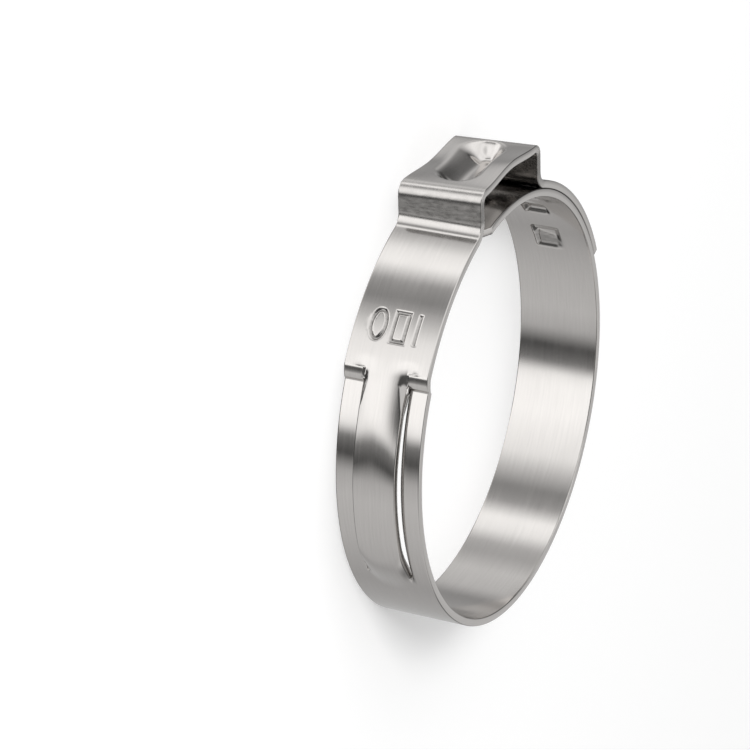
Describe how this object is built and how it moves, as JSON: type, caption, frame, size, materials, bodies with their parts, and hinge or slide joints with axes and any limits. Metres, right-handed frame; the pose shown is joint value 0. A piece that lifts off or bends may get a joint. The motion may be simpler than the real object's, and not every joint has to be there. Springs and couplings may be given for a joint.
{
  "type": "ear hose clamp",
  "caption": "Stepless ear hose clamp: a flat steel band bent into a ring, lapped over itself, with hooks in windows, a tongue in a channel and an open dimpled ear.",
  "frame": {"origin": "on the bore's axis, in the plane of the rim that the clamp rests on", "axes": "+Z along the bore's axis, up from the resting rim; +Y towards the ear; +X towards the outer end and its windows"},
  "size_m": [0.035, 0.0377, 0.0068],
  "materials": {
    "steel": "brushed along the band"
  },
  "bodies": {
    "root": {"clamp_band": "steel"}
  },
  "joints": []
}
